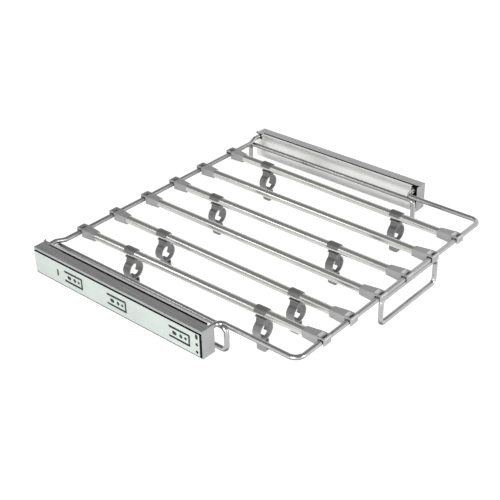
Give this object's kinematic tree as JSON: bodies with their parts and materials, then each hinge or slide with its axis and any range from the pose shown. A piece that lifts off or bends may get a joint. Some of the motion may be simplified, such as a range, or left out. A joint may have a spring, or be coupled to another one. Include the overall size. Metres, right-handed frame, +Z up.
{
  "type": "pull out trouser rack",
  "caption": "Pull out wardrobe rack: a wire frame on full extension ball bearing slides carries hook on rods, and spring clips slide on some of them.",
  "frame": {"origin": "middle of the bottom of the part's box, level with the lowest edges of the clip jaws", "axes": "+X to the right seen from the front, -Y the way the rack pulls out, +Z up"},
  "size_m": [0.56, 0.5001, 0.0771],
  "materials": {
    "slide_zinc": "bright zinc plate",
    "slide_steel": "zinc plated steel",
    "ball_steel": "polished bearing steel",
    "cover_dark": "dark grey with fine streaks",
    "profile_light": "pale silver, satin",
    "cap_grey": "brushed light grey",
    "wire_steel": "satin plated wire",
    "rod_satin": "satin with a soft sheen",
    "hook_grey": "silver grey moulded, slight sheen",
    "clip_grey": "mid grey moulded",
    "bracket_zinc": "blue zinc plate"
  },
  "bodies": {
    "cabinet_members": {"cabinet_member_left": "slide_zinc", "cabinet_member_right": "slide_zinc"},
    "middle_members": {"middle_member_left": "slide_steel", "middle_member_right": "slide_steel"},
    "outer_ball_stage": {"outer_ball_cage_left": "slide_steel", "outer_ball_cage_right": "slide_steel", "outer_balls": "ball_steel"},
    "inner_ball_stage": {"inner_ball_cage_left": "slide_steel", "inner_ball_cage_right": "slide_steel", "inner_balls": "ball_steel"},
    "rack": {"inner_member_left": "slide_steel", "inner_member_right": "slide_steel", "cover_left": "cover_dark", "cover_right": "cover_dark", "side_profile_left": "profile_light", "side_profile_right": "profile_light", "end_cap_left": "cap_grey", "end_cap_right": "cap_grey", "wire_brackets": "bracket_zinc", "bracket_screws": "ball_steel", "front_wire": "wire_steel", "back_wire": "wire_steel", "side_loop_left": "wire_steel", "side_loop_right": "wire_steel", "handle_loop": "wire_steel"},
    "trouser_rod_1": {"rod_1": "rod_satin", "front_hook_1": "hook_grey", "back_hook_1": "hook_grey"},
    "trouser_rod_2": {"rod_2": "rod_satin", "front_hook_2": "hook_grey", "back_hook_2": "hook_grey"},
    "trouser_rod_3": {"rod_3": "rod_satin", "front_hook_3": "hook_grey", "back_hook_3": "hook_grey"},
    "trouser_rod_4": {"rod_4": "rod_satin", "front_hook_4": "hook_grey", "back_hook_4": "hook_grey"},
    "trouser_rod_5": {"rod_5": "rod_satin", "front_hook_5": "hook_grey", "back_hook_5": "hook_grey"},
    "trouser_rod_6": {"rod_6": "rod_satin", "front_hook_6": "hook_grey", "back_hook_6": "hook_grey"},
    "clip_1a": {"clip_body_1a": "clip_grey"},
    "jaw_1a": {"clip_arm_1a": "clip_grey"},
    "clip_1b": {"clip_body_1b": "clip_grey"},
    "jaw_1b": {"clip_arm_1b": "clip_grey"},
    "clip_2a": {"clip_body_2a": "clip_grey"},
    "jaw_2a": {"clip_arm_2a": "clip_grey"},
    "clip_2b": {"clip_body_2b": "clip_grey"},
    "jaw_2b": {"clip_arm_2b": "clip_grey"},
    "clip_4a": {"clip_body_4a": "clip_grey"},
    "jaw_4a": {"clip_arm_4a": "clip_grey"},
    "clip_4b": {"clip_body_4b": "clip_grey"},
    "jaw_4b": {"clip_arm_4b": "clip_grey"},
    "clip_6a": {"clip_body_6a": "clip_grey"},
    "jaw_6a": {"clip_arm_6a": "clip_grey"},
    "clip_6b": {"clip_body_6b": "clip_grey"},
    "jaw_6b": {"clip_arm_6b": "clip_grey"}
  },
  "joints": [
    {"name": "rack_slide", "type": "slide", "parent": "cabinet_members", "child": "rack", "axis": [0, -1, 0], "range_m": [0, 0.35]},
    {"name": "middle_slide", "type": "slide", "parent": "cabinet_members", "child": "middle_members", "axis": [0, -1, 0], "range_m": [0, 0.175]},
    {"name": "outer_ball_travel", "type": "slide", "parent": "cabinet_members", "child": "outer_ball_stage", "axis": [0, -1, 0], "range_m": [0, 0.0875]},
    {"name": "inner_ball_travel", "type": "slide", "parent": "cabinet_members", "child": "inner_ball_stage", "axis": [0, -1, 0], "range_m": [0, 0.2625]},
    {"name": "rod_1_sideways", "type": "slide", "parent": "rack", "child": "trouser_rod_1", "axis": [1, 0, 0], "range_m": [-0.012, 0.012]},
    {"name": "rod_2_sideways", "type": "slide", "parent": "rack", "child": "trouser_rod_2", "axis": [1, 0, 0], "range_m": [-0.012, 0.012]},
    {"name": "rod_3_sideways", "type": "slide", "parent": "rack", "child": "trouser_rod_3", "axis": [1, 0, 0], "range_m": [-0.012, 0.012]},
    {"name": "rod_4_sideways", "type": "slide", "parent": "rack", "child": "trouser_rod_4", "axis": [1, 0, 0], "range_m": [-0.012, 0.012]},
    {"name": "rod_5_sideways", "type": "slide", "parent": "rack", "child": "trouser_rod_5", "axis": [1, 0, 0], "range_m": [-0.012, 0.012]},
    {"name": "rod_6_sideways", "type": "slide", "parent": "rack", "child": "trouser_rod_6", "axis": [1, 0, 0], "range_m": [-0.012, 0.012]},
    {"name": "clip_1a_along_rod", "type": "slide", "parent": "trouser_rod_1", "child": "clip_1a", "axis": [-0.0183, 0.9998, 0], "range_m": [-0.118, 0.064]},
    {"name": "clip_1b_along_rod", "type": "slide", "parent": "trouser_rod_1", "child": "clip_1b", "axis": [-0.0183, 0.9998, 0], "range_m": [-0.061, 0.121]},
    {"name": "clip_2a_along_rod", "type": "slide", "parent": "trouser_rod_2", "child": "clip_2a", "axis": [0, 1, 0], "range_m": [-0.116, 0.066]},
    {"name": "clip_2b_along_rod", "type": "slide", "parent": "trouser_rod_2", "child": "clip_2b", "axis": [0, 1, 0], "range_m": [-0.051, 0.131]},
    {"name": "clip_4a_along_rod", "type": "slide", "parent": "trouser_rod_4", "child": "clip_4a", "axis": [0, 1, 0], "range_m": [-0.13, 0.052]},
    {"name": "clip_4b_along_rod", "type": "slide", "parent": "trouser_rod_4", "child": "clip_4b", "axis": [0, 1, 0], "range_m": [-0.087, 0.095]},
    {"name": "clip_6a_along_rod", "type": "slide", "parent": "trouser_rod_6", "child": "clip_6a", "axis": [0.0166, 0.9999, 0], "range_m": [-0.141, 0.041]},
    {"name": "clip_6b_along_rod", "type": "slide", "parent": "trouser_rod_6", "child": "clip_6b", "axis": [0.0166, 0.9999, 0], "range_m": [-0.068, 0.114]},
    {"name": "jaw_1a_open", "type": "hinge", "parent": "clip_1a", "child": "jaw_1a", "pos_m": [-0.18375, 0.12702, 0.05051], "axis": [-0.0183, 0.9998, 0], "range_deg": [0, 9], "stiffness_Nm_per_rad": 0.15, "springref_deg": -28.65},
    {"name": "jaw_1b_open", "type": "hinge", "parent": "clip_1b", "child": "jaw_1b", "pos_m": [-0.17895, -0.13474, 0.05051], "axis": [-0.0183, 0.9998, 0], "range_deg": [0, 9], "stiffness_Nm_per_rad": 0.15, "springref_deg": -28.65},
    {"name": "jaw_2a_open", "type": "hinge", "parent": "clip_2a", "child": "jaw_2a", "pos_m": [-0.11542, 0.12462, 0.05051], "axis": [0, 1, 0], "range_deg": [0, 9], "stiffness_Nm_per_rad": 0.15, "springref_deg": -28.65},
    {"name": "jaw_2b_open", "type": "hinge", "parent": "clip_2b", "child": "jaw_2b", "pos_m": [-0.11542, -0.1451, 0.05051], "axis": [0, 1, 0], "range_deg": [0, 9], "stiffness_Nm_per_rad": 0.15, "springref_deg": -28.65},
    {"name": "jaw_4a_open", "type": "hinge", "parent": "clip_4a", "child": "jaw_4a", "pos_m": [0.02548, 0.139, 0.05051], "axis": [0, 1, 0], "range_deg": [0, 9], "stiffness_Nm_per_rad": 0.15, "springref_deg": -28.65},
    {"name": "jaw_4b_open", "type": "hinge", "parent": "clip_4b", "child": "jaw_4b", "pos_m": [0.02548, -0.10914, 0.05051], "axis": [0, 1, 0], "range_deg": [0, 9], "stiffness_Nm_per_rad": 0.15, "springref_deg": -28.65},
    {"name": "jaw_6a_open", "type": "hinge", "parent": "clip_6a", "child": "jaw_6a", "pos_m": [0.17315, 0.14974, 0.05051], "axis": [0.0166, 0.9999, 0], "range_deg": [0, 9], "stiffness_Nm_per_rad": 0.15, "springref_deg": -28.65},
    {"name": "jaw_6b_open", "type": "hinge", "parent": "clip_6b", "child": "jaw_6b", "pos_m": [0.16854, -0.12833, 0.05051], "axis": [0.0166, 0.9999, 0], "range_deg": [0, 9], "stiffness_Nm_per_rad": 0.15, "springref_deg": -28.65}
  ],
  "couplings": [
    {"joint": "middle_slide", "follows": "rack_slide", "ratio": 0.5},
    {"joint": "outer_ball_travel", "follows": "rack_slide", "ratio": 0.25},
    {"joint": "inner_ball_travel", "follows": "rack_slide", "ratio": 0.75}
  ]
}
